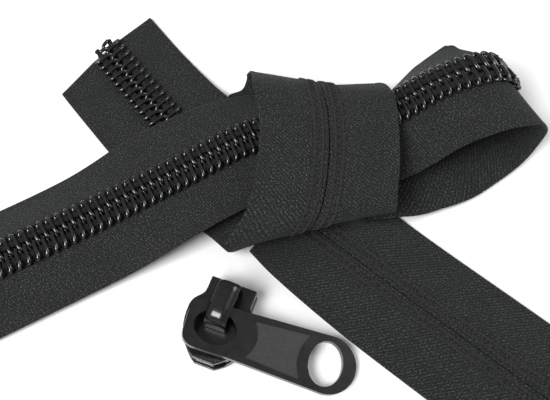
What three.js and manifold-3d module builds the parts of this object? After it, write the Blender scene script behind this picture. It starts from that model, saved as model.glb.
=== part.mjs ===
// Three lengths of number 10 nylon coil zipper chain, knotted together, and one loose locking slider.
// Millimetres, +Z up. The chains and the slider rest on z = 0.
import * as THREE from "three";
import { mergeVertices } from "three/addons/utils/BufferGeometryUtils.js";
import Module from "manifold-3d";

const wasm = await Module();
wasm.setup();

// Chain: sizes across one half, measured from the middle of the chain.
const HALF_WIDTH = 19.5;
const TAPE_THICK = 0.6;
const TAPE_GAP = 0.35;
const COIL_INNER = 0.25;
const COIL_OUTER = 5.25;
const COIL_BASE = 0.5;
const COIL_TOP = 2.75;
const COIL_WALL = 0.5;
const BEND_LINE = 5.8;
const CORD_WIDTH = 1.9;
const CORD_HEIGHT = 0.65;
const STITCH_INNER = 1.7;
const STITCH_OUTER = 4.1;
const STITCH_THICK = 0.3;
const STITCH_CLEARANCE = 0.25;
const STEPS_PER_SPAN = 3;
const TAPE_CUT_BACK = 0.1;

// Each station of a chain's route holds, in this order: x, y, z of the chain's middle, then four
// angles in degrees: the heading of its left edge, the rise of its left edge, and the droop of the
// left and of the right tape margin, away from the coil side.
const MAIN_ROUTE = [
  [-90, -30.5, 8, 120, 0, 27, 28],
  [-54, -11, 8, 119, 0, 25, 20],
  [-30, 2, 9.4, 117, 0, 8, -4],
  [-7, 13, 13, 112, 0, 22, 0],
  [13, 15.3, 15.2, 108, -4, 42, 8],
  [30, 18.8, 15.6, 108, -2, 66, 26],
  [46, 26.5, 19.5, 109, -6, 44, 26],
  [58, 30.3, 22, 114, -2, 38, 12],
  [65.3, 32.2, 19.5, 120, 0, 34, 4],
  [68.5, 32.8, 12, 124, 0, 16, 0],
  [65.8, 30.3, 5, 129, 0, 4, 0],
  [59.2, 24.3, 3, 136, 0, -4, -4],
  [48, 17, 3.2, 134, 0, -4, -8],
  [37, 13, 4.6, 124, 0, 0, -10],
  [28, 11.6, 5.4, 114, 0, 0, -10],
  [21, 11, 5.4, 108, 0, 0, -10],
];
const WRAP_ROUTE = [
  [-55.2, 53, 2.5, 50, 0, 8, 8],
  [-43, 37.5, 2.5, 43, 0, 8, 8],
  [-31, 23, 3, 40, 2, 4, 5],
  [-17.5, 10, 4.8, 41, 4, 0, 3],
  [-5, 0, 6.8, 38, 5, 0, 5],
  [5, -9.8, 7, 27, 3, 0, 0],
  [9.5, -14.8, 12.3, 14, 0, 0, -4],
  [13, -9.8, 18.2, 2, 0, 0, 0],
  [15, 4, 20.4, -4, 0, 0, 0],
  [15, 16.5, 21.2, -6, 0, 0, 0],
  [13.5, 26.5, 19.5, -8, 0, 6, 0],
  [12, 33.8, 11.4, -11, 0, 12, 0],
  [11, 36.9, 5, -12, 0, 8, 0],
  [8.6, 32, 1.6, -15, 0, 2, 2],
  [5, 28, 1.2, -19, 0, 3, 3],
  [1, 22.5, 1.2, -21, 0, 3, 3],
];
const TAIL_ROUTE = [
  [3, -3.2, 3, -122, 0, 18, -9],
  [13, -11.6, 3, -126, 0, 4, -10],
  [33, -28.5, 3, -130, 0, -10, -11],
  [54, -45.5, 3, -130, 0, -11, -11],
  [75, -62.5, 3, -130, 0, -11, -11],
];

const BLACK_TAPE = new THREE.MeshStandardMaterial({ color: 0x17191a, roughness: 0.9, metalness: 0 });
const BLACK_NYLON = new THREE.MeshStandardMaterial({ color: 0x08090a, roughness: 0.25, metalness: 0 });
const BLACK_THREAD = new THREE.MeshStandardMaterial({ color: 0x1d1f20, roughness: 0.8, metalness: 0 });
const GREY_CORD = new THREE.MeshStandardMaterial({ color: 0x2a2c2d, roughness: 0.95, metalness: 0 });

// Catmull-Rom blend of the stations around place u, counted in stations.
function routeValues(stations, u) {
  const last = stations.length - 1;
  const i = Math.min(Math.floor(u), last - 1);
  const f = u - i;
  const at = (k) => stations[Math.max(0, Math.min(last, k))];
  const before = at(i - 1);
  const from = at(i);
  const to = at(i + 1);
  const after = at(i + 2);
  return from.map((value, k) => {
    const slopeIn = (to[k] - before[k]) / (i > 0 ? 2 : 1);
    const slopeOut = (after[k] - value) / (i + 2 <= last ? 2 : 1);
    const f2 = f * f;
    const f3 = f2 * f;
    return (
      (2 * f3 - 3 * f2 + 1) * value +
      (f3 - 2 * f2 + f) * slopeIn +
      (3 * f2 - 2 * f3) * to[k] +
      (f3 - f2) * slopeOut
    );
  });
}

// How far ahead and behind, counted in stations, the route's slope is measured.
const SLOPE_REACH = 0.01;

// The middle of the chain at place u, the step that makes a millimetre of width towards its left
// edge, and the direction out of its coil side.
function frameAt(stations, u) {
  const [x, y, z, heading, rise, leftDroop, rightDroop] = routeValues(stations, u);
  const last = stations.length - 1;
  const ahead = new THREE.Vector3(...routeValues(stations, Math.min(u + SLOPE_REACH, last)));
  const behind = new THREE.Vector3(...routeValues(stations, Math.max(u - SLOPE_REACH, 0)));
  const along = ahead.sub(behind).normalize();
  const h = THREE.MathUtils.degToRad(heading);
  const r = THREE.MathUtils.degToRad(rise);
  const left = new THREE.Vector3(Math.cos(r) * Math.cos(h), Math.cos(r) * Math.sin(h), Math.sin(r));
  const up = new THREE.Vector3().crossVectors(along, left);
  left.divideScalar(up.length());
  up.normalize();
  return { place: new THREE.Vector3(x, y, z), left, up, leftDroop, rightDroop };
}

// A point of one half: "across" from the middle towards side (1 left, -1 right), "above" the tape.
function chainPoint(frame, side, across, above) {
  const flat = Math.min(across, BEND_LINE);
  const margin = across - flat;
  const bend = side > 0 ? frame.leftDroop : frame.rightDroop;
  const droop = THREE.MathUtils.degToRad(margin > 0 ? bend : 0);
  const out = flat + margin * Math.cos(droop) + above * Math.sin(droop);
  const high = above * Math.cos(droop) - margin * Math.sin(droop);
  return frame.place
    .clone()
    .addScaledVector(frame.left, side * out)
    .addScaledVector(frame.up, high);
}

// A solid whose section, an outline and perhaps one hole, follows a chain's route from place "from".
function sweepAlong(stations, side, outline, from, hole = []) {
  const spans = stations.length - 1;
  const steps = spans * STEPS_PER_SPAN;
  const rings = [];
  for (let i = 0; i <= steps; i++) {
    const frame = frameAt(stations, from + (i / steps) * (spans - from));
    rings.push([...outline, ...hole].map(([across, above]) => chainPoint(frame, side, across, above)));
  }
  const size = outline.length + hole.length;
  const triangles = [];
  const addWall = (first, count) => {
    for (let i = 0; i < steps; i++) {
      for (let j = 0; j < count; j++) {
        const a = i * size + first + j;
        const b = i * size + first + ((j + 1) % count);
        triangles.push([a, b, b + size], [a, b + size, a + size]);
      }
    }
  };
  addWall(0, outline.length);
  addWall(outline.length, hole.length);
  const flat = (points) => points.map(([across, above]) => new THREE.Vector2(across, above));
  const cap = THREE.ShapeUtils.triangulateShape(flat(outline), hole.length ? [flat(hole)] : []);
  const end = steps * size;
  for (const [a, b, c] of cap) {
    triangles.push([c, b, a], [a + end, b + end, c + end]);
  }
  const positions = rings.flat().flatMap((p) => [...p]);
  const geometry = new THREE.BufferGeometry();
  geometry.setAttribute("position", new THREE.Float32BufferAttribute(positions, 3));
  geometry.setIndex(triangles.flatMap((t) => (side > 0 ? t : [t[0], t[2], t[1]])));
  geometry.computeVertexNormals();
  return geometry;
}

// Outlines run anticlockwise in (across, above); the hole runs clockwise.
const TAPE_OUTLINE = [
  [TAPE_GAP, -TAPE_THICK / 2],
  [BEND_LINE, -TAPE_THICK / 2],
  [HALF_WIDTH, -TAPE_THICK / 2],
  [HALF_WIDTH, TAPE_THICK / 2],
  [BEND_LINE, TAPE_THICK / 2],
  [TAPE_GAP, TAPE_THICK / 2],
];
const COIL_SHOULDER = 0.6;
const COIL_OUTLINE = [
  [COIL_INNER, COIL_BASE],
  [COIL_OUTER - COIL_SHOULDER, COIL_BASE],
  [COIL_OUTER, (COIL_BASE + COIL_TOP) / 2],
  [COIL_OUTER - COIL_SHOULDER, COIL_TOP - COIL_SHOULDER / 2],
  [COIL_OUTER - 3 * COIL_SHOULDER, COIL_TOP],
  [COIL_INNER, COIL_TOP],
];
const COIL_HOLE = [
  [COIL_INNER + COIL_WALL, COIL_BASE + COIL_WALL],
  [COIL_INNER + COIL_WALL, COIL_TOP - COIL_WALL],
  [COIL_OUTER - 2 * COIL_WALL, COIL_TOP - COIL_WALL],
  [COIL_OUTER - 2 * COIL_WALL, COIL_BASE + COIL_WALL],
];

function boxOutline(inner, outer, low, high) {
  return [[inner, low], [outer, low], [outer, high], [inner, high]];
}
const CORD_MIDDLE = (COIL_INNER + COIL_OUTER - COIL_WALL) / 2;
const CORD_LEVEL = (COIL_BASE + COIL_TOP) / 2;
const CORD_OUTLINE = boxOutline(
  CORD_MIDDLE - CORD_WIDTH / 2,
  CORD_MIDDLE + CORD_WIDTH / 2,
  CORD_LEVEL - CORD_HEIGHT / 2,
  CORD_LEVEL + CORD_HEIGHT / 2,
);
const STITCH_LEVEL = -TAPE_THICK / 2 - STITCH_CLEARANCE;
const STITCH_OUTLINE = boxOutline(STITCH_INNER, STITCH_OUTER, STITCH_LEVEL - STITCH_THICK, STITCH_LEVEL);

// Moves the knot's own frame so that the whole part stands centred on the origin.
const PART_SHIFT = [5.85, 5.4, 0];

const part = new THREE.Group();

const knot = new THREE.Group();
knot.position.set(...PART_SHIFT);
part.add(knot);

function addMesh(parent, name, geometry, material) {
  const mesh = new THREE.Mesh(geometry, material);
  mesh.name = name;
  parent.add(mesh);
}

// Both halves of one chain: woven tape, coil, the cord inside the coil and the sewing under it. At the
// route's start the tape and its sewing are cut back to place "cutBack", and the coil sticks out.
function addChain(prefix, route, cutBack) {
  for (const [word, side] of [["left", 1], ["right", -1]]) {
    const name = `${prefix}_${word}`;
    addMesh(knot, `${name}_tape`, sweepAlong(route, side, TAPE_OUTLINE, cutBack), BLACK_TAPE);
    addMesh(knot, `${name}_coil`, sweepAlong(route, side, COIL_OUTLINE, 0, COIL_HOLE), BLACK_NYLON);
    addMesh(knot, `${name}_filler_cord`, sweepAlong(route, side, CORD_OUTLINE, 0), GREY_CORD);
    addMesh(knot, `${name}_stitching`, sweepAlong(route, side, STITCH_OUTLINE, cutBack), BLACK_THREAD);
  }
}
addChain("main", MAIN_ROUTE, 0);
addChain("wrap", WRAP_ROUTE, TAPE_CUT_BACK);
addChain("tail", TAIL_ROUTE, 0);

// Slider: +X from its single rear channel to its two-channel mouth, +Y left, base on z = 0.
const SLIDER_PLACE = [-15.1, -39.5];
const SLIDER_HEADING = -111;
const BODY_HALF_LENGTH = 11.5;
const TAIL_HALF_WIDTH = 6.6;
const SHOULDER_HALF_WIDTH = 9.4;
const PLATE_THICK = 1.3;
const BODY_HEIGHT = 6.8;
const TAPE_SLOT = 1.6;
const RIM = 1.3;
const CROWN_HALF_WIDTH = 3;
const CROWN_TOP = 14.2;
const CROWN_THICK = 0.8;
const CROWN_BACK = -10;
const CROWN_FRONT = 2.7;
const LUG_HALF_WIDTH = 2;
const GAP = 0.3;
const JOIN = 0.5;
const NECK_X = -7.5;
const SHOULDER_X = -1.5;
const NOSE_X = 5;
const NOSE_HALF_WIDTH = 2.8;
const PLAN_SEGMENTS = 10;

const BLACK_PAINT = new THREE.MeshStandardMaterial({ color: 0x050505, roughness: 0.22, metalness: 0.4 });
const SPRING_STEEL = new THREE.MeshStandardMaterial({ color: 0x8a8d90, roughness: 0.35, metalness: 1 });

function solidOf(geometry) {
  const bare = geometry.clone();
  bare.deleteAttribute("normal");
  bare.deleteAttribute("uv");
  const merged = mergeVertices(bare, 1e-4);
  const made = new wasm.Manifold(
    new wasm.Mesh({
      numProp: 3,
      vertProperties: new Float32Array(merged.attributes.position.array),
      triVerts: new Uint32Array(merged.index.array),
    }),
  );
  return made;
}

function geometryOf(solid) {
  const mesh = solid.getMesh();
  const geometry = new THREE.BufferGeometry();
  geometry.setAttribute("position", new THREE.Float32BufferAttribute(mesh.vertProperties, 3));
  geometry.setIndex([...mesh.triVerts]);
  geometry.computeVertexNormals();
  return geometry;
}

// A shape, or its outline points, pushed through "depth".
function extruded(shape, depth, curveSegments) {
  const outline = Array.isArray(shape) ? new THREE.Shape(shape.map((p) => new THREE.Vector2(...p))) : shape;
  return new THREE.ExtrudeGeometry(outline, { depth, bevelEnabled: false, curveSegments });
}

// A plan shape made solid from height low to height high.
function slab(shape, low, high, curveSegments = PLAN_SEGMENTS) {
  return solidOf(extruded(shape, high - low, curveSegments).translate(0, 0, low));
}

// An outline in (x, z), made solid between y = -halfWidth and y = halfWidth.
function upright(shape, halfWidth) {
  const standing = extruded(shape, 2 * halfWidth, PLAN_SEGMENTS).rotateX(Math.PI / 2);
  return solidOf(standing.translate(0, halfWidth, 0));
}

function block(x0, x1, halfWidth, low, high) {
  return slab([[x0, -halfWidth], [x1, -halfWidth], [x1, halfWidth], [x0, halfWidth]], low, high);
}

// The shield-shaped plan of both plates, grown sideways by "grow" and run on past both ends by "reach".
function shieldShape(grow, reach) {
  const tail = TAIL_HALF_WIDTH + grow;
  const wide = SHOULDER_HALF_WIDTH + grow;
  const back = -BODY_HALF_LENGTH - reach;
  const front = BODY_HALF_LENGTH + reach;
  const nose = NOSE_HALF_WIDTH + 0.3 * grow;
  const flank = 2.5 * nose;
  const waist = NECK_X + 2.5;
  const shape = new THREE.Shape();
  shape.moveTo(back, -tail);
  shape.lineTo(NECK_X, -tail);
  shape.bezierCurveTo(waist, -tail, waist, -wide, SHOULDER_X, -wide);
  shape.bezierCurveTo(NOSE_X, -wide, front - 2.5, -flank, front, -nose);
  shape.lineTo(front, nose);
  shape.bezierCurveTo(front - 2.5, flank, NOSE_X, wide, SHOULDER_X, wide);
  shape.bezierCurveTo(waist, wide, waist, tail, NECK_X, tail);
  shape.lineTo(back, tail);
  return shape;
}

const TOOTH_X = [-1.2, -0.4];
const TOOTH_HALF_WIDTH = 0.9;
const REAR_LUG_X = [-8.7, -6.4];
const REAR_LUG_TOP = 11.6;
const FRONT_LUG_X = [0.4, 1.5];
const FRONT_LUG_TOP = 10.2;
const TOOTH_SLOT_BOTTOM = 4;
const WEDGE_PLAN = [[-1, 0], [4, -2], [10.4, -2.6], [10.4, 2.6], [4, 2]];

// Two plates with turned-in rims, joined by the wedge that parts the two rows of coil.
function sliderBody() {
  const plates = slab(shieldShape(0, 0), 0, BODY_HEIGHT);
  const channel = slab(shieldShape(-RIM, RIM), PLATE_THICK, BODY_HEIGHT - PLATE_THICK);
  const middle = BODY_HEIGHT / 2;
  const slotSpan = SHOULDER_HALF_WIDTH + 1;
  const tapeSlot = block(
    -BODY_HALF_LENGTH - 1, BODY_HALF_LENGTH + 1, slotSpan, middle - TAPE_SLOT / 2, middle + TAPE_SLOT / 2,
  );
  const wedge = slab(WEDGE_PLAN, JOIN, BODY_HEIGHT - JOIN);
  const rearLug = block(...REAR_LUG_X, LUG_HALF_WIDTH, BODY_HEIGHT - JOIN, REAR_LUG_TOP);
  const frontLug = block(...FRONT_LUG_X, LUG_HALF_WIDTH, BODY_HEIGHT - JOIN, FRONT_LUG_TOP);
  const slotX = [TOOTH_X[0] - GAP, TOOTH_X[1] + 2 * GAP];
  const toothSlot = block(...slotX, TOOTH_HALF_WIDTH + GAP, TOOTH_SLOT_BOTTOM, BODY_HEIGHT + 1);
  return plates.subtract(channel).subtract(tapeSlot).add(wedge).add(rearLug).add(frontLug).subtract(toothSlot);
}

const CROWN_BACK_ROUND = 3;
const CROWN_FRONT_ROUND = 4.5;
const CHEEK_LOW = 12.1;
const CHEEK_THICK = 0.6;

// The cover's side outline, drawn in by "inset"; the inner one is open at its foot.
function crownOutline(inset) {
  const back = CROWN_BACK + inset;
  const front = CROWN_FRONT - inset;
  const top = CROWN_TOP - inset;
  const foot = BODY_HEIGHT + GAP - (inset > 0 ? 1 : 0);
  const shape = new THREE.Shape();
  shape.moveTo(back, foot);
  shape.lineTo(back, top - CROWN_BACK_ROUND);
  shape.quadraticCurveTo(back, top, back + CROWN_BACK_ROUND, top);
  shape.lineTo(front - CROWN_FRONT_ROUND, top);
  shape.quadraticCurveTo(front, top, front, top - CROWN_FRONT_ROUND);
  shape.lineTo(front, foot);
  return shape;
}

// The arched cover over both lugs, with a short cheek down each side of its top.
function crownCover() {
  const outer = upright(crownOutline(0), CROWN_HALF_WIDTH);
  const ends = [CROWN_BACK - 1, CROWN_FRONT + 1];
  const room = block(...ends, CROWN_HALF_WIDTH - CHEEK_THICK, 0, CROWN_TOP - CROWN_THICK);
  const below = block(...ends, CROWN_HALF_WIDTH + 1, 0, CHEEK_LOW);
  const shell = outer.subtract(upright(crownOutline(CROWN_THICK), CROWN_HALF_WIDTH + 1));
  return shell.add(outer.subtract(room).subtract(below));
}

// Outlines in (x, z) of the lever, with its locking tooth, and of the leaf spring above it.
const LEVER_BACK = -7.9;
const LEVER_LOW = 12;
const LEVER_HIGH = 12.5;
const TOOTH_LOW = [5.2, 5.6];
const LEVER_PROFILE = [
  [LEVER_BACK, LEVER_LOW],
  [TOOTH_X[0], LEVER_LOW],
  [TOOTH_X[0], TOOTH_LOW[0]],
  [TOOTH_X[1], TOOTH_LOW[1]],
  [TOOTH_X[1], LEVER_HIGH],
  [LEVER_BACK, LEVER_HIGH],
];
const SPRING_PROFILE = [[-7.2, 12.8], [-2, 13], [-2, 13.2], [-7.2, 13.05]];

// Pull tab: +X along the tab from the middle of its ring, its own mid plane at z = 0.
const TAB_THICK = 1.8;
const TAB_BACK = -8;
const TAB_END = 39.5;
const RING_HALF_WIDTH = 6.7;
const RING_HOLE = [5.8, 4.6];
const END_HALF_WIDTH = 7.9;
const EYE_X = 31;
const EYE = [4.8, 6.2];
const PANEL_DEPTH = 0.4;
const PANEL_RIM = 1.5;
const PANEL_START = 9.5;
const PANEL_START_BULGE = 4;
const PANEL_END_BULGE = 4;
const TAB_CORNER = 4.5;
const TAB_TAPER_X = 6;
const TAB_SEGMENTS = 20;

function tabShape() {
  const shape = new THREE.Shape();
  const ring = RING_HALF_WIDTH;
  const wide = END_HALF_WIDTH;
  const turn = TAB_END - wide;
  shape.moveTo(TAB_BACK + TAB_CORNER, -ring);
  shape.lineTo(TAB_TAPER_X, -ring);
  shape.lineTo(turn, -wide);
  shape.absarc(turn, 0, wide, -Math.PI / 2, Math.PI / 2, false);
  shape.lineTo(TAB_TAPER_X, ring);
  shape.lineTo(TAB_BACK + TAB_CORNER, ring);
  shape.quadraticCurveTo(TAB_BACK, ring, TAB_BACK, ring - TAB_CORNER);
  shape.lineTo(TAB_BACK, -ring + TAB_CORNER);
  shape.quadraticCurveTo(TAB_BACK, -ring, TAB_BACK + TAB_CORNER, -ring);
  const ringHole = new THREE.Path();
  ringHole.absellipse(0, 0, RING_HOLE[0], RING_HOLE[1], 0, 2 * Math.PI, true, 0);
  const eye = new THREE.Path();
  eye.absellipse(EYE_X, 0, EYE[0], EYE[1], 0, 2 * Math.PI, true, 0);
  shape.holes.push(ringHole, eye);
  return shape;
}

// The sunk panel on the face: concave towards the ring, and ended by a rim round the eye.
function panelShape() {
  const start = RING_HALF_WIDTH - PANEL_RIM;
  const end = END_HALF_WIDTH - PANEL_RIM;
  const stop = EYE_X - EYE[0] - PANEL_RIM / 2;
  const shape = new THREE.Shape();
  shape.moveTo(PANEL_START, -start);
  shape.lineTo(stop, -end);
  shape.quadraticCurveTo(stop - PANEL_END_BULGE, 0, stop, end);
  shape.lineTo(PANEL_START, start);
  shape.quadraticCurveTo(PANEL_START + PANEL_START_BULGE, 0, PANEL_START, -start);
  return shape;
}

function pullTab() {
  const blank = slab(tabShape(), -TAB_THICK / 2, TAB_THICK / 2, TAB_SEGMENTS);
  return blank.subtract(slab(panelShape(), TAB_THICK / 2 - PANEL_DEPTH, TAB_THICK, TAB_SEGMENTS));
}

const TAB_HINGE = [3, 0.3, 9.9];
const TAB_SWING = 96;
const TAB_SLOPE = 13;

function addSlider() {
  const slider = new THREE.Group();
  slider.position.set(SLIDER_PLACE[0], SLIDER_PLACE[1], 0);
  slider.rotation.z = THREE.MathUtils.degToRad(SLIDER_HEADING);
  addMesh(slider, "slider_body", geometryOf(sliderBody()), BLACK_PAINT);
  addMesh(slider, "crown_cover", geometryOf(crownCover()), BLACK_PAINT);
  addMesh(slider, "lock_lever", geometryOf(upright(LEVER_PROFILE, TOOTH_HALF_WIDTH)), SPRING_STEEL);
  addMesh(slider, "lock_spring", geometryOf(upright(SPRING_PROFILE, TOOTH_HALF_WIDTH)), SPRING_STEEL);
  const tab = new THREE.Group();
  tab.position.set(...TAB_HINGE);
  tab.rotation.order = "ZYX";
  tab.rotation.set(0, THREE.MathUtils.degToRad(TAB_SLOPE), THREE.MathUtils.degToRad(TAB_SWING));
  addMesh(tab, "pull_tab", geometryOf(pullTab()), BLACK_PAINT);
  slider.add(tab);
  knot.add(slider);
}
addSlider();

export default part;
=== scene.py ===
"""Looks of the knotted coil zipper and its loose slider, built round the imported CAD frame."""

import math

import bmesh
import bpy
import numpy as np
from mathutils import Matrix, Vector


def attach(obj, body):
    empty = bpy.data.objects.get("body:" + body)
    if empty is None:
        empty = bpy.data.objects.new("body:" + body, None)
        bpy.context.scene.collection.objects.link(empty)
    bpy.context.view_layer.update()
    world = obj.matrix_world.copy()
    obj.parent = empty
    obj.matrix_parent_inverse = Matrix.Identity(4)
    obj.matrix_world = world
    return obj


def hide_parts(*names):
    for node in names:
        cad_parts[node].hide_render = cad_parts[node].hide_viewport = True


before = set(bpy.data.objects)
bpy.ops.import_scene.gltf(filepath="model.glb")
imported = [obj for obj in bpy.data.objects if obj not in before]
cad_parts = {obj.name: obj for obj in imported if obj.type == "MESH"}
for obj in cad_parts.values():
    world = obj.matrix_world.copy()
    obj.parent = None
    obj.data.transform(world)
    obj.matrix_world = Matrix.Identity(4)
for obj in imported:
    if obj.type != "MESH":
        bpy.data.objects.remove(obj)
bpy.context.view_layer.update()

MM = 0.001
TURN = 2 * math.pi

# ---------------------------------------------------------------- camera

# The whole knot is moved by SHIFT, in millimetres, as it is in the CAD. The camera looks at that point.
SHIFT = np.array([5.85, 5.4, 0.0])
CAMERA_DISTANCE = 250
CAMERA_ELEVATION = math.radians(64)
LENS_MM = 55.3
SENSOR_MM = 36
NEAREST, FURTHEST = 0.01, 10


def make_camera():
    cam = bpy.data.objects.new("camera", bpy.data.cameras.new("camera"))
    bpy.context.scene.collection.objects.link(cam)
    back = Vector((0, -math.cos(CAMERA_ELEVATION), math.sin(CAMERA_ELEVATION)))
    cam.location = (Vector(SHIFT) + back * CAMERA_DISTANCE) * MM
    cam.rotation_euler = (-back).to_track_quat("-Z", "Y").to_euler()
    cam.data.sensor_width = SENSOR_MM
    cam.data.lens = LENS_MM
    cam.data.clip_start = NEAREST
    cam.data.clip_end = FURTHEST
    bpy.context.scene.camera = cam


make_camera()

# ---------------------------------------------------------------- chain sizes and routes, millimetres

TAPE_THICK = 0.6
PITCH = 2.7
BEND_START = 4.8
BEND_SPAN = 2.4
BEND_STEPS = 12
TAPE_CUT_BACK = 0.1

# Each station holds x, y, z of the chain's middle, then in degrees the heading of its left edge, the
# rise of its left edge, and the droop of its left and right margins away from the coil side.
MAIN_ROUTE = [
    [-90, -30.5, 8, 120, 0, 27, 28],
    [-54, -11, 8, 119, 0, 25, 20],
    [-30, 2, 9.4, 117, 0, 8, -4],
    [-7, 13, 13, 112, 0, 22, 0],
    [13, 15.3, 15.2, 108, -4, 42, 8],
    [30, 18.8, 15.6, 108, -2, 66, 26],
    [46, 26.5, 19.5, 109, -6, 44, 26],
    [58, 30.3, 22, 114, -2, 38, 12],
    [65.3, 32.2, 19.5, 120, 0, 34, 4],
    [68.5, 32.8, 12, 124, 0, 16, 0],
    [65.8, 30.3, 5, 129, 0, 4, 0],
    [59.2, 24.3, 3, 136, 0, -4, -4],
    [48, 17, 3.2, 134, 0, -4, -8],
    [37, 13, 4.6, 124, 0, 0, -10],
    [28, 11.6, 5.4, 114, 0, 0, -10],
    [21, 11, 5.4, 108, 0, 0, -10],
]
WRAP_ROUTE = [
    [-55.2, 53, 2.5, 50, 0, 8, 8],
    [-43, 37.5, 2.5, 43, 0, 8, 8],
    [-31, 23, 3, 40, 2, 4, 5],
    [-17.5, 10, 4.8, 41, 4, 0, 3],
    [-5, 0, 6.8, 38, 5, 0, 5],
    [5, -9.8, 7, 27, 3, 0, 0],
    [9.5, -14.8, 12.3, 14, 0, 0, -4],
    [13, -9.8, 18.2, 2, 0, 0, 0],
    [15, 4, 20.4, -4, 0, 0, 0],
    [15, 16.5, 21.2, -6, 0, 0, 0],
    [13.5, 26.5, 19.5, -8, 0, 6, 0],
    [12, 33.8, 11.4, -11, 0, 12, 0],
    [11, 36.9, 5, -12, 0, 8, 0],
    [8.6, 32, 1.6, -15, 0, 2, 2],
    [5, 28, 1.2, -19, 0, 3, 3],
    [1, 22.5, 1.2, -21, 0, 3, 3],
]
TAIL_ROUTE = [
    [3, -3.2, 3, -122, 0, 18, -9],
    [13, -11.6, 3, -126, 0, 4, -10],
    [33, -28.5, 3, -130, 0, -10, -11],
    [54, -45.5, 3, -130, 0, -11, -11],
    [75, -62.5, 3, -130, 0, -11, -11],
]


def smooth(t):
    """Goes from 0 to 1 without a corner at either end."""
    t = np.clip(t, 0, 1)
    return t * t * (3 - 2 * t)


def route_values(stations, u):
    """Catmull-Rom blend of the stations at the places u, counted in stations."""
    table = np.array(stations, float)
    last = len(table) - 1
    i = np.minimum(u.astype(int), last - 1)
    f = (u - i)[:, None]
    before = table[np.maximum(i - 1, 0)]
    start = table[i]
    end = table[i + 1]
    after = table[np.minimum(i + 2, last)]
    slope_in = (end - before) / np.where(i > 0, 2, 1)[:, None]
    slope_out = (after - start) / np.where(i + 2 <= last, 2, 1)[:, None]
    f2 = f * f
    f3 = f2 * f
    return (
        (2 * f3 - 3 * f2 + 1) * start
        + (f3 - 2 * f2 + f) * slope_in
        + (3 * f2 - 2 * f3) * end
        + (f3 - f2) * slope_out
    )


class Route:
    """One chain's way through space, looked up by its length in millimetres."""

    SAMPLES_PER_SPAN = 60

    def __init__(self, stations, cut_back):
        spans = len(stations) - 1
        u = np.linspace(0, spans, spans * self.SAMPLES_PER_SPAN + 1)
        v = route_values(stations, u)
        along = np.gradient(v[:, :3], axis=0)
        along /= np.linalg.norm(along, axis=1)[:, None]
        h, r = np.radians(v[:, 3]), np.radians(v[:, 4])
        left = np.stack([np.cos(r) * np.cos(h), np.cos(r) * np.sin(h), np.sin(r)], 1)
        up = np.cross(along, left)
        size = np.linalg.norm(up, axis=1)[:, None]
        steps = np.linalg.norm(np.diff(v[:, :3], axis=0), axis=1)
        self.length_at = np.concatenate([[0], np.cumsum(steps)])
        self.length = self.length_at[-1]
        self.tape_start = np.interp(cut_back, u, self.length_at)
        self.table = np.hstack([v[:, :3] + SHIFT, left / size, up / size, np.radians(v[:, 5:7])])

    def place(self, side, points):
        """World places of points given as (across, above, along) in one half of the chain."""
        across, above, s = points.T
        inside = np.clip(s, 0, self.length)
        row = np.stack([np.interp(inside, self.length_at, c) for c in self.table.T], 1)
        middle, left, up = row[:, 0:3], row[:, 3:6], row[:, 6:9]
        along = np.cross(left, up)
        droop = row[:, 9] if side > 0 else row[:, 10]
        margin = np.maximum(across - BEND_START, 0)
        part = (np.arange(BEND_STEPS) + 0.5) / BEND_STEPS
        angle = droop[:, None] * smooth(margin[:, None] * part / BEND_SPAN)
        end = droop * smooth(margin / BEND_SPAN)
        out = np.minimum(across, BEND_START) + margin * np.cos(angle).mean(1) + above * np.sin(end)
        high = above * np.cos(end) - margin * np.sin(angle).mean(1)
        past = (s - inside)[:, None]
        return middle + left * (side * out)[:, None] + up * high[:, None] + along * past


# At its start the wrapping length's tape is cut back, in stations, so its coil sticks out.
ROUTES = {
    "main": Route(MAIN_ROUTE, 0),
    "wrap": Route(WRAP_ROUTE, TAPE_CUT_BACK),
    "tail": Route(TAIL_ROUTE, 0),
}
SIDES = {"left": 1, "right": -1}

# ---------------------------------------------------------------- materials


class Nodes:
    """Short names for making a node tree."""

    def __init__(self, name):
        self.material = bpy.data.materials.new(name)
        self.material.use_nodes = True
        self.tree = self.material.node_tree
        self.shader = self.tree.nodes["Principled BSDF"]

    def new(self, kind, **values):
        node = self.tree.nodes.new(kind)
        for key, value in values.items():
            setattr(node, key, value)
        return node

    def put(self, socket, value):
        if isinstance(value, bpy.types.NodeSocket):
            self.tree.links.new(value, socket)
        else:
            socket.default_value = value

    def math(self, operation, *values):
        node = self.new("ShaderNodeMath", operation=operation)
        for socket, value in zip(node.inputs, values):
            self.put(socket, value)
        return node.outputs[0]

    def noise(self, vector, scale, detail=2.0):
        node = self.new("ShaderNodeTexNoise")
        self.put(node.inputs["Vector"], vector)
        node.inputs["Scale"].default_value = scale
        node.inputs["Detail"].default_value = detail
        return node.outputs["Fac"]

    def ramp(self, factor, stops):
        node = self.new("ShaderNodeValToRGB")
        elements = node.color_ramp.elements
        while len(elements) < len(stops):
            elements.new(0.5)
        for element, (position, colour) in zip(elements, stops):
            element.position = position
            element.color = (*colour, 1)
        self.put(node.inputs[0], factor)
        return node.outputs[0]

    def span(self, factor, low, high):
        node = self.new("ShaderNodeMapRange")
        self.put(node.inputs[0], factor)
        node.inputs[3].default_value = low
        node.inputs[4].default_value = high
        return node.outputs[0]

    def bump(self, height, distance):
        node = self.new("ShaderNodeBump")
        self.put(node.inputs["Height"], height)
        node.inputs["Distance"].default_value = distance
        node.inputs["Strength"].default_value = 1.0
        return node.outputs["Normal"]

    def surface(self, colour, roughness, normal):
        self.put(self.shader.inputs["Base Color"], colour)
        self.put(self.shader.inputs["Roughness"], roughness)
        self.put(self.shader.inputs["Normal"], normal)

    def uniform(self, **values):
        for key, value in values.items():
            self.shader.inputs[key.replace("_", " ")].default_value = value


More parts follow.
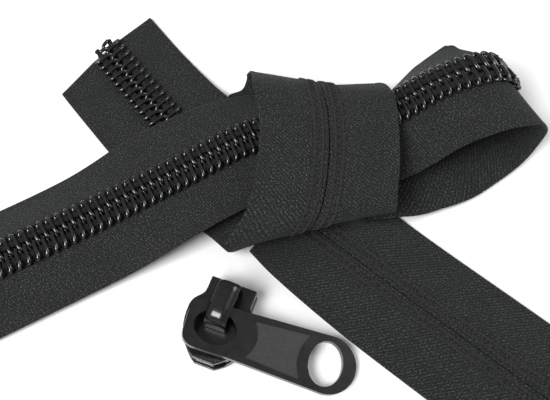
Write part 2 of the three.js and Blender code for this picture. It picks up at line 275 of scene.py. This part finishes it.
# Distances between threads of the weave, in millimetres.
WARP_SPACING = 0.62
FACE_WEFT_SPACING = 0.72
BACK_WEFT_SPACING = 1.15
FLECK_GAIN = 3.2


def tape_material(name, twill, weft_spacing, dark, light, depth):
    """Woven polyester: warp threads along the tape, weft across them, in a fine twill."""
    n = Nodes(name)
    uv = n.new("ShaderNodeUVMap", uv_map="weave").outputs[0]
    split = n.new("ShaderNodeSeparateXYZ")
    n.put(split.inputs[0], uv)
    across, along = split.outputs[0], split.outputs[1]
    wobble = n.math("MULTIPLY", n.noise(uv, 0.7), 0.5)
    warp = n.math("SINE", n.math("MULTIPLY", n.math("ADD", across, wobble), TURN / WARP_SPACING))
    slope = n.math("ADD", along, n.math("MULTIPLY", across, twill))
    weft = n.math("SINE", n.math("MULTIPLY", n.math("ADD", slope, wobble), TURN / weft_spacing))
    weave = n.math("ADD", n.math("MULTIPLY", warp, 0.3), n.math("MULTIPLY", weft, 0.5))
    fibre = n.noise(uv, 3.2, 3)
    height = n.math("ADD", weave, n.math("MULTIPLY", fibre, 1.6))
    patch = n.noise(uv, 0.12, 3)
    fleck = n.noise(uv, 2.2, 1)
    tone = n.math("MULTIPLY", n.math("SUBTRACT", fleck, 0.5), 2.4)
    # Painted shade and painted highlight: the tone follows the relief of the weave and fibres, darker in
    # its hollows and lighter on its crowns. The broad patches and the flecks are the tape's own uneven
    # colour.
    shade = n.math("ADD", n.math("MULTIPLY", height, 0.3), n.math("MULTIPLY", patch, 0.22))
    shade = n.math("ADD", shade, n.math("ADD", tone, 0.02))
    lightest = tuple(FLECK_GAIN * c for c in light)
    colour = n.ramp(shade, [(0.2, dark), (0.6, light), (0.95, lightest)])
    n.surface(colour, n.span(fibre, 0.72, 0.95), n.bump(height, depth * MM))
    n.uniform(Sheen_Weight=0.06, Sheen_Roughness=0.5, Specular_IOR_Level=0.2)
    n.shader.inputs["Sheen Tint"].default_value = (0.75, 0.8, 0.78, 1)
    return n.material


def object_noise(n, scale, detail=2.0):
    place = n.new("ShaderNodeTexCoord").outputs["Object"]
    return n.noise(place, scale, detail)


def nylon_material():
    """Drawn black monofilament, glossy."""
    n = Nodes("black_nylon_filament")
    draw = object_noise(n, 900, 2)
    colour = n.ramp(draw, [(0.3, (0.003, 0.003, 0.0035)), (0.7, (0.008, 0.008, 0.009))])
    n.surface(colour, n.span(draw, 0.14, 0.26), n.bump(object_noise(n, 1500, 2), 0.02 * MM))
    n.uniform(Specular_IOR_Level=0.65, Coat_Weight=0.3, Coat_Roughness=0.15)
    return n.material


def thread_material(name, colour, twist):
    """Twisted thread: strands wind round it, painted 2.4 times the colour on their crowns as a painted
    highlight.
    """
    n = Nodes(name)
    uv = n.new("ShaderNodeUVMap", uv_map="weave").outputs[0]
    wave = n.new("ShaderNodeTexWave", wave_type="BANDS", bands_direction="DIAGONAL")
    n.put(wave.inputs["Vector"], uv)
    wave.inputs["Scale"].default_value = twist
    wave.inputs["Distortion"].default_value = 1.2
    strands = wave.outputs["Fac"]
    # Painted highlight: the bands where the strands rise are lighter than the thread's colour.
    light = tuple(2.4 * c for c in colour)
    shade = n.ramp(strands, [(0.1, colour), (0.9, light)])
    n.surface(shade, n.span(strands, 0.6, 0.85), n.bump(strands, 0.08 * MM))
    n.uniform(Sheen_Weight=0.05, Sheen_Roughness=0.4, Specular_IOR_Level=0.25)
    return n.material


def paint_material():
    """Gloss black lacquer over cast zinc, with a faint orange peel."""
    n = Nodes("black_gloss_paint")
    worn = n.ramp(object_noise(n, 320, 4), [(0.35, (0.003, 0.003, 0.0035)), (0.75, (0.007, 0.0075, 0.007))])
    gloss = n.span(object_noise(n, 500, 3), 0.2, 0.34)
    n.surface(worn, gloss, n.bump(object_noise(n, 420, 2), 0.02 * MM))
    n.uniform(Specular_IOR_Level=0.5, Coat_Weight=0.25, Coat_Roughness=0.22)
    return n.material


def panel_material():
    """The satin floor of the tab's sunk panel."""
    n = Nodes("satin_panel_paint")
    grain = object_noise(n, 1400, 3)
    colour = n.ramp(grain, [(0.3, (0.017, 0.018, 0.0175)), (0.7, (0.027, 0.028, 0.027))])
    n.surface(colour, n.span(grain, 0.4, 0.55), n.bump(grain, 0.03 * MM))
    return n.material


def steel_material():
    """Bright rolled spring steel."""
    n = Nodes("spring_steel")
    grain = object_noise(n, 700, 3)
    colour = n.ramp(grain, [(0.3, (0.33, 0.34, 0.35)), (0.7, (0.52, 0.53, 0.54))])
    n.surface(colour, n.span(grain, 0.25, 0.42), n.bump(grain, 0.02 * MM))
    n.uniform(Metallic=1.0)
    return n.material


FACE_TAPE = tape_material(
    "tape_coil_side", 0.35, FACE_WEFT_SPACING, (0.007, 0.0075, 0.0075), (0.020, 0.0215, 0.0205), 0.10
)
BACK_TAPE = tape_material(
    "tape_reverse", 0.9, BACK_WEFT_SPACING, (0.007, 0.0075, 0.0078), (0.021, 0.0225, 0.022), 0.16
)
NYLON = nylon_material()
SEWING = thread_material("sewing_thread", (0.019, 0.0195, 0.019), 6)
CORD = thread_material("filler_cord_yarn", (0.006, 0.006, 0.006), 3)
PAINT = paint_material()
PANEL = panel_material()
STEEL = steel_material()

# ---------------------------------------------------------------- meshes

TINY = 1e-12


def add_piece(name, points, faces, uvs, materials, body, face_materials=None):
    """A mesh piece from points in millimetres, with its weave coordinates in millimetres."""
    mesh = bpy.data.meshes.new(name)
    mesh.from_pydata((points * MM).tolist(), [], faces)
    loops = np.empty(len(mesh.loops), dtype=np.int32)
    mesh.loops.foreach_get("vertex_index", loops)
    layer = mesh.uv_layers.new(name="weave")
    layer.data.foreach_set("uv", np.asarray(uvs, np.float32)[loops].ravel())
    for material in materials:
        mesh.materials.append(material)
    if face_materials is not None:
        mesh.polygons.foreach_set("material_index", np.asarray(face_materials, np.int32))
    mesh.polygons.foreach_set("use_smooth", np.ones(len(mesh.polygons), dtype=bool))
    mesh.update()
    piece = bpy.data.objects.new(name, mesh)
    bpy.context.scene.collection.objects.link(piece)
    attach(piece, body)
    return piece


def ring_faces(rings, size):
    """Quads between closed rings of "size" points each."""
    i, j = np.meshgrid(np.arange(rings - 1), np.arange(size), indexing="ij")
    a = i * size + j
    b = i * size + (j + 1) % size
    return np.stack([a, b, b + size, a + size], -1).reshape(-1, 4)


def tube(path, radius, sides, widen=None):
    """A round tube along a path of (across, above, along): its points, quads and weave coordinates."""
    tangent = np.gradient(path, axis=0)
    tangent /= np.linalg.norm(tangent, axis=1)[:, None] + TINY
    lead = np.tile(np.array([0.0, 1.0, 0.0]), (len(path), 1))
    steep = np.abs((tangent * lead).sum(1)) > 0.8
    lead[steep] = (1.0, 0.0, 0.0)
    return tube_with_lead(path, tangent, lead, radius, sides, widen)


def tube_with_lead(path, tangent, lead, radius, sides, widen=None):
    """The same, with the direction of each ring's first point given, and perhaps its widening."""
    normal = lead - tangent * (tangent * lead).sum(1)[:, None]
    normal /= np.linalg.norm(normal, axis=1)[:, None] + TINY
    other = np.cross(tangent, normal)
    if widen is not None:
        other = other * widen[:, None]
    angles = TURN * np.arange(sides) / sides
    radius = np.broadcast_to(radius, len(path))[:, None, None]
    first = normal[:, None] * np.cos(angles)[None, :, None]
    second = other[:, None] * np.sin(angles)[None, :, None]
    points = (path[:, None] + radius * (first + second)).reshape(-1, 3)
    faces = ring_faces(len(path), sides)
    steps = np.linalg.norm(np.diff(path, axis=0), axis=1)
    length = np.concatenate([[0], np.cumsum(steps)])
    round_way = np.tile(np.arange(sides) / sides, len(path))
    uvs = np.stack([round_way, np.repeat(length, sides)], 1)
    return points, faces, uvs


class Batch:
    """Gathers several tubes into one mesh, each closed at both ends."""

    def __init__(self):
        self.points, self.faces, self.uvs, self.count = [], [], [], 0

    def add(self, points, quads, uvs, sides):
        self.points.append(points)
        self.uvs.append(uvs)
        self.faces += (quads + self.count).tolist()
        first = list(range(self.count, self.count + sides))
        last = list(range(self.count + len(points) - sides, self.count + len(points)))
        self.faces += [first[::-1], last]
        self.count += len(points)

    def piece(self, name, route, side, material, slot):
        points = route.place(side, np.vstack(self.points))
        faces = self.faces if side > 0 else [f[::-1] for f in self.faces]
        return add_piece(name, points, faces, np.vstack(self.uvs), [material], "chain")


# ---------------------------------------------------------------- tape

COLUMNS = [0.16, 0.3, 0.8, 1.4, 2, 2.6, 3.2, 3.8, 4.4, 5, 5.6, 6.2, 6.8, 7.4, 8.2, 9, 10, 11, 12, 13,
           14, 15, 16, 17, 17.8, 18.4, 18.8, 19.1, 19.35, 19.5]
ROW_STEP = 0.9
SELVEDGE = 0.12
SELVEDGE_AT = 18.7
SELVEDGE_SPREAD = 0.45
EDGE_PINCH = 0.55


def tape_section():
    """The tape's outline: reverse side from the middle out, then the coil side back again."""
    half = TAPE_THICK / 2
    section = []
    for direction, columns in ((-1, COLUMNS), (1, COLUMNS[::-1])):
        for a in columns:
            bead = SELVEDGE * math.exp(-(((a - SELVEDGE_AT) / SELVEDGE_SPREAD) ** 2))
            pinch = EDGE_PINCH if a in (COLUMNS[0], COLUMNS[-1]) else 1
            section.append((a, direction * (half * pinch + bead)))
    return np.array(section)


def tape_ends(rows, size):
    """The quads that close the tape at its two cut ends."""
    ends = []
    for first, turn in ((0, 1), ((rows - 1) * size, -1)):
        for j in range(size // 2 - 1):
            quad = [first + j, first + size - 1 - j, first + size - 2 - j, first + j + 1]
            ends.append(quad[::turn])
    return ends


def add_tape(prefix, word, route):
    """One half's woven tape, with the coil side and the reverse in their own materials."""
    side = SIDES[word]
    section = tape_section()
    size = len(section)
    rows = int(route.length / ROW_STEP) + 1
    points = np.empty((rows, size, 3))
    points[:, :, 0:2] = section[None]
    points[:, :, 2] = np.linspace(route.tape_start, route.length, rows)[:, None]
    points = points.reshape(-1, 3)
    ends = tape_ends(rows, size)
    faces = ring_faces(rows, size).tolist() + ends
    if side < 0:
        faces = [f[::-1] for f in faces]
    reverse = np.tile(np.arange(size) < size // 2, rows - 1)
    slots = np.concatenate([reverse.astype(int), np.zeros(len(ends), int)])
    uvs = points[:, [0, 2]] * np.array([side, 1])
    name = f"{prefix}_{word}_woven_tape"
    placed = route.place(side, points)
    piece = add_piece(name, placed, faces, uvs, [FACE_TAPE, BACK_TAPE], "chain", slots)
    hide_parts(f"{prefix}_{word}_tape")


# ---------------------------------------------------------------- coil

FILAMENT = 0.55
COIL_HEAD = -0.45
COIL_RETURN = 5.0
COIL_LOW = 0.32 + FILAMENT
COIL_HIGH = 2.9 - FILAMENT
COIL_MIDDLE = (COIL_HEAD + COIL_RETURN) / 2
COIL_REACH = (COIL_RETURN - COIL_HEAD) / 2
TURN_POINTS = 26
TUBE_SIDES = 9
# Powers below 1 square off the oval of a turn, across and above.
ACROSS_POWER = 0.75
ABOVE_POWER = 0.8
TURN_CROWN = 0.12
TURN_LEAN = 0.05
HEAD_START = 0.55
HEAD_SPAN = 0.45
# The right half's turns lie halfway between those of the left half.
LAG = {"left": 0, "right": 0.5}


def coil_path(turn, lag):
    """The middle of the filament, its outward lead, and how far each point is into a head."""
    angle = TURN * turn
    c, v = np.cos(angle), np.sin(angle)
    across = COIL_MIDDLE + COIL_REACH * np.sign(c) * np.abs(c) ** ACROSS_POWER
    crown = 1 - TURN_CROWN * ((across - COIL_MIDDLE) / COIL_REACH) ** 2
    swing = np.sign(v) * np.abs(v) ** ABOVE_POWER * crown
    above = (COIL_LOW + COIL_HIGH) / 2 + (COIL_HIGH - COIL_LOW) / 2 * swing
    s = (turn + TURN_LEAN * np.sin(2 * angle) + lag) * PITCH
    lead = np.stack([c * 0.6, v, np.zeros(len(turn))], 1)
    return np.stack([across, above, s], 1), lead, smooth((-c - HEAD_START) / HEAD_SPAN)


def add_coil(prefix, word, route):
    """A monofilament wound in turns, each with a coined head that locks between two of the other half."""
    turns = route.length / PITCH - 0.6
    turn = np.linspace(0, turns, int(turns * TURN_POINTS)) + 0.25
    path, lead, head = coil_path(turn, LAG[word])
    tangent = np.gradient(path, axis=0)
    tangent /= np.linalg.norm(tangent, axis=1)[:, None]
    radius = FILAMENT * (1 - 0.1 * head)
    batch = Batch()
    batch.add(*tube_with_lead(path, tangent, lead, radius, TUBE_SIDES, 1.1 + 0.12 * head), TUBE_SIDES)
    piece = batch.piece(f"{prefix}_{word}_coil_turns", route, SIDES[word], NYLON, "black_nylon")
    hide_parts(f"{prefix}_{word}_coil")


# ---------------------------------------------------------------- filler cord, sewing

CORD_AT = 2.5
CORD_LEVEL = 1.6
CORD_RADIUS = 0.36
CORD_WIDEN = 2.3
CORD_SIDES = 12
CORD_STEP = 0.45
CORD_MARGIN = 0.2
CORD_STRANDS = 3
CORD_TWIST = 2.4
CORD_SWELL = 0.12


def add_filler_cord(prefix, word, route):
    """The flattened yarn of three twisted strands inside the coil."""
    s = np.arange(CORD_MARGIN, route.length - CORD_MARGIN, CORD_STEP)
    path = np.stack([np.full_like(s, CORD_AT), np.full_like(s, CORD_LEVEL), s], 1)
    points, quads, uvs = tube(path, CORD_RADIUS, CORD_SIDES, np.full(len(s), CORD_WIDEN))
    twist = np.repeat(s, CORD_SIDES) / CORD_TWIST * TURN
    way = np.tile(TURN * np.arange(CORD_SIDES) / CORD_SIDES, len(s))
    swell = (1 + CORD_SWELL * np.cos(CORD_STRANDS * way - twist))[:, None]
    centre = np.repeat(path, CORD_SIDES, axis=0)
    batch = Batch()
    batch.add(centre + (points - centre) * swell, quads, uvs, CORD_SIDES)
    piece = batch.piece(f"{prefix}_{word}_cord_yarn", route, SIDES[word], CORD, "grey_cord")
    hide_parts(f"{prefix}_{word}_filler_cord")


THREAD = 0.19
THREAD_SIDES = 6
STITCH_ROWS = (1.75, 3.95)
STITCH_MARGIN = 0.4
STITCH_SWING = 0.42
LOOP_POINTS = 12


def chain_stitch_row(across, s, lean):
    """One row of chain stitch on the reverse: a thread that swings out and back once every pitch."""
    t = TURN * s / PITCH
    swing = STITCH_SWING * np.sin(t) * lean
    rise = -TAPE_THICK / 2 - THREAD * (0.75 + 0.8 * (0.5 + 0.5 * np.cos(t)))
    return np.stack([across + swing, rise, s + 0.5 * np.sin(2 * t)], 1)


def add_stitching(prefix, word, route):
    """Two rows of crossing chain stitch and the zigzag cover thread between them."""
    batch = Batch()
    low, high = STITCH_ROWS
    s = np.arange(route.tape_start + STITCH_MARGIN, route.length - STITCH_MARGIN, PITCH / LOOP_POINTS)
    for across, delay in ((low, 0), (high, 0.25 * PITCH)):
        for lean in (1, -1):
            path = chain_stitch_row(across, s, lean)
            path[:, 2] = np.minimum(path[:, 2] + delay, route.length - 0.1)
            batch.add(*tube(path, THREAD, THREAD_SIDES), THREAD_SIDES)
    zigzag = (low + high) / 2 + (high - low) / 2 * np.sin(TURN * s / PITCH)
    cover = np.stack([zigzag, np.full_like(s, -TAPE_THICK / 2 - 0.8 * THREAD), s], 1)
    batch.add(*tube(cover, 0.9 * THREAD, THREAD_SIDES), THREAD_SIDES)
    piece = batch.piece(f"{prefix}_{word}_chain_stitches", route, SIDES[word], SEWING, "black_thread")
    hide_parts(f"{prefix}_{word}_stitching")


NEEDLE_ROW = 3.6
NEEDLE_RADIUS = 0.1
NEEDLE_LOW = 1.5


def add_needle_thread(prefix, word, route):
    """The thread that holds the coil down, over each upper leg and down between the turns."""
    s = np.arange(PITCH, route.length - PITCH, PITCH / LOOP_POINTS)
    c = (NEEDLE_ROW - COIL_MIDDLE) / COIL_REACH
    angle = math.acos(c ** (1 / ACROSS_POWER))
    leg = (angle / TURN + TURN_LEAN * math.sin(2 * angle) + LAG[word]) * PITCH
    over = 0.5 + 0.5 * np.cos(TURN * (s - leg) / PITCH)
    top = COIL_HIGH + FILAMENT + 0.02
    above = NEEDLE_LOW + (top - NEEDLE_LOW) * over ** 0.6
    path = np.stack([np.full_like(s, NEEDLE_ROW), above, s], 1)
    batch = Batch()
    batch.add(*tube(path, NEEDLE_RADIUS, THREAD_SIDES), THREAD_SIDES)
    batch.piece(f"{prefix}_{word}_needle_thread", route, SIDES[word], SEWING, "black_thread")


for prefix, route in ROUTES.items():
    for word in SIDES:
        add_tape(prefix, word, route)
        add_coil(prefix, word, route)
        add_filler_cord(prefix, word, route)
        add_stitching(prefix, word, route)
        add_needle_thread(prefix, word, route)

# ---------------------------------------------------------------- slider


# The pull tab's hinge point and face direction, and the slider's middle and its sideways direction.
TAB_MIDDLE = Vector((-10.045, -37.0083, 9.9)) * MM
TAB_NORMAL = Vector((0.21729, -0.05822, 0.97437))
PANEL_LEVEL = 0.5 * MM
SLIDER_MIDDLE = Vector((-9.25, -34.1, 0)) * MM
SLIDER_SIDEWAYS = Vector((0.93358, -0.35837, 0))

# The crown, its foot and top in height, and how its top is rounded and its wall thinned.
CROWN_HALF_WIDTH = 3 * MM
CROWN_FOOT = 7 * MM
CROWN_TOP = 14.2 * MM
CROWN_FLAT = 0.3
CROWN_FALL = 1.2 * MM
CROWN_THINNING = 0.25 * MM
CROWN_THINNED = 0.6


def copy_solid(node, name, materials):
    """A loose copy of a CAD solid, in materials of its own."""
    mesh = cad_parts[node].data.copy()
    mesh.name = name
    mesh.materials.clear()
    for material in materials:
        mesh.materials.append(material)
    piece = bpy.data.objects.new(name, mesh)
    bpy.context.scene.collection.objects.link(piece)
    return piece


def bake(piece):
    """Replaces the piece's mesh by what its modifiers make of it."""
    bpy.context.view_layer.update()
    graph = bpy.context.evaluated_depsgraph_get()
    made = bpy.data.meshes.new_from_object(piece.evaluated_get(graph))
    piece.modifiers.clear()
    piece.data = made
    made.name = piece.name
    return made


def stand_for(piece, node, body):
    """The painted piece takes the place of its CAD solid."""
    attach(piece, body)
    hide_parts(node)


def soften(piece, voxel, rounds):
    """Rounds the piece's corners as a casting's are, and returns the new mesh."""
    remesh = piece.modifiers.new("remesh", "REMESH")
    remesh.mode = "VOXEL"
    remesh.voxel_size = voxel * MM
    remesh.use_smooth_shade = True
    relax = piece.modifiers.new("relax", "SMOOTH")
    relax.factor = 0.5
    relax.iterations = rounds
    return bake(piece)


def paint_panel(mesh):
    """Gives the floor of the tab's sunk panel its satin paint."""
    for face in mesh.polygons:
        level = (face.center - TAB_MIDDLE).dot(TAB_NORMAL)
        if abs(level - PANEL_LEVEL) < 0.05 * MM and face.normal.dot(TAB_NORMAL) > 0.99:
            face.material_index = 1


def dome(mesh):
    """Rounds the crown's top across its width, towards its sides, and thins it from inside."""
    inside = [vertex.normal.z < -0.1 for vertex in mesh.vertices]
    for vertex, is_inside in zip(mesh.vertices, inside):
        sideways = abs((vertex.co - SLIDER_MIDDLE).dot(SLIDER_SIDEWAYS)) / CROWN_HALF_WIDTH
        height = (vertex.co.z - CROWN_FOOT) / (CROWN_TOP - CROWN_FOOT)
        fall = max(0.0, sideways - CROWN_FLAT) / (1 - CROWN_FLAT)
        vertex.co.z -= CROWN_FALL * max(0.0, min(1.0, height)) * fall * fall
        if is_inside and sideways < CROWN_THINNED:
            vertex.co.z += CROWN_THINNING


def merge_flats(mesh):
    """Joins the triangles of each flat face into one, so that only real edges are rounded."""
    form = bmesh.new()
    form.from_mesh(mesh)
    bmesh.ops.remove_doubles(form, verts=form.verts, dist=0.004 * MM)
    bmesh.ops.dissolve_limit(form, angle_limit=math.radians(1), verts=form.verts, edges=form.edges)
    form.to_mesh(mesh)
    form.free()
    for face in mesh.polygons:
        face.material_index = 0
        face.use_smooth = True


def round_edges(piece, width):
    """Rounds every sharp edge of the piece to a small radius."""
    bevel = piece.modifiers.new("rounded edges", "BEVEL")
    bevel.width = width * MM
    bevel.segments = 3
    bevel.limit_method = "ANGLE"
    bevel.angle_limit = math.radians(35)
    even = piece.modifiers.new("even normals", "WEIGHTED_NORMAL")
    even.keep_sharp = False
    bake(piece)


def add_castings():
    body = copy_solid("slider_body", "slider_casting", [PAINT])
    soften(body, 0.14, 7)
    stand_for(body, "slider_body", "slider")
    crown = copy_solid("crown_cover", "crown_shell", [PAINT])
    dome(soften(crown, 0.1, 16))
    stand_for(crown, "crown_cover", "slider")
    tab = copy_solid("pull_tab", "pull_tab_casting", [PAINT, PANEL])
    merge_flats(tab.data)
    paint_panel(tab.data)
    round_edges(tab, 0.3)
    stand_for(tab, "pull_tab", "puller")


add_castings()
for node in ("lock_lever", "lock_spring"):
    for material_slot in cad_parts[node].material_slots:
        material_slot.material = STEEL

# ---------------------------------------------------------------- floor and light


FLOOR_HALF = 3
FLOOR_DROP = 0.0002
WORLD_STRENGTH = 0.3


def make_floor():
    """A plain pale floor, a hair under the part."""
    n = Nodes("pale_floor")
    grain = object_noise(n, 12, 3)
    colour = n.ramp(grain, [(0.3, (0.86, 0.86, 0.86)), (0.7, (0.88, 0.88, 0.88))])
    n.put(n.shader.inputs["Base Color"], colour)
    n.put(n.shader.inputs["Roughness"], n.span(grain, 0.7, 0.8))
    mesh = bpy.data.meshes.new("floor")
    corners = [(-1, -1), (1, -1), (1, 1), (-1, 1)]
    mesh.from_pydata([(x * FLOOR_HALF, y * FLOOR_HALF, 0) for x, y in corners], [], [(0, 1, 2, 3)])
    mesh.materials.append(n.material)
    floor = bpy.data.objects.new("floor", mesh)
    floor.location.z = -FLOOR_DROP
    bpy.context.scene.collection.objects.link(floor)


def area_light(name, place, size, energy):
    """A square light at a place in metres, facing the origin."""
    light = bpy.data.lights.new(name, "AREA")
    light.shape = "RECTANGLE"
    light.size = light.size_y = size
    light.energy = energy
    holder = bpy.data.objects.new(name, light)
    holder.location = place
    holder.rotation_euler = (-Vector(place)).to_track_quat("-Z", "Y").to_euler()
    bpy.context.scene.collection.objects.link(holder)


def make_light():
    """White surroundings, a soft key from the front left and a weak fill from the back right."""
    world = bpy.data.worlds.new("studio")
    world.use_nodes = True
    background = world.node_tree.nodes["Background"]
    background.inputs["Color"].default_value = (1, 1, 1, 1)
    background.inputs["Strength"].default_value = WORLD_STRENGTH
    bpy.context.scene.world = world
    area_light("key", (-0.5, -0.45, 0.95), 0.55, 17)
    area_light("fill", (0.75, 0.35, 0.6), 0.5, 4)


make_floor()
make_light()
bpy.context.scene.view_settings.view_transform = "Standard"
